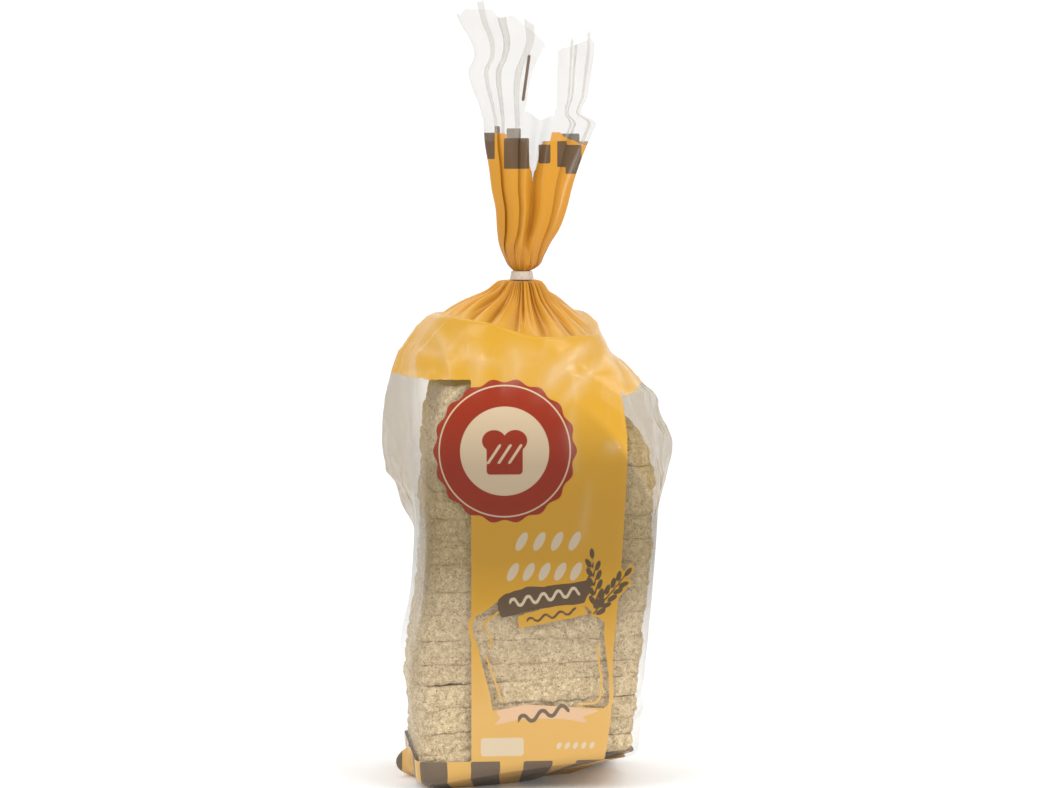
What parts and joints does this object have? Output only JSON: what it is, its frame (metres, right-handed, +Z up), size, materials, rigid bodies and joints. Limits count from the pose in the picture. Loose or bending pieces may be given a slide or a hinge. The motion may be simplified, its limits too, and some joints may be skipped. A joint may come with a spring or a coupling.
{
  "type": "bagged sliced loaf",
  "caption": "Crustless sliced loaf standing on end in a printed clear film bag, gathered at the neck with a band and a loose film tail.",
  "frame": {"origin": "on the surface it stands on, below the middle of the bag's box", "axes": "+Z up along the stack of slices to the tail, -Y out of the printed front"},
  "size_m": [0.1548, 0.1162, 0.412],
  "materials": {
    "printed_film": "glossy printed film",
    "clear_film": "clear crinkled film",
    "bread": "open wholemeal crumb",
    "band": "pale paper-covered band"
  },
  "bodies": {
    "root": {"bag": "printed_film", "tie": "band"}
  },
  "joints": []
}
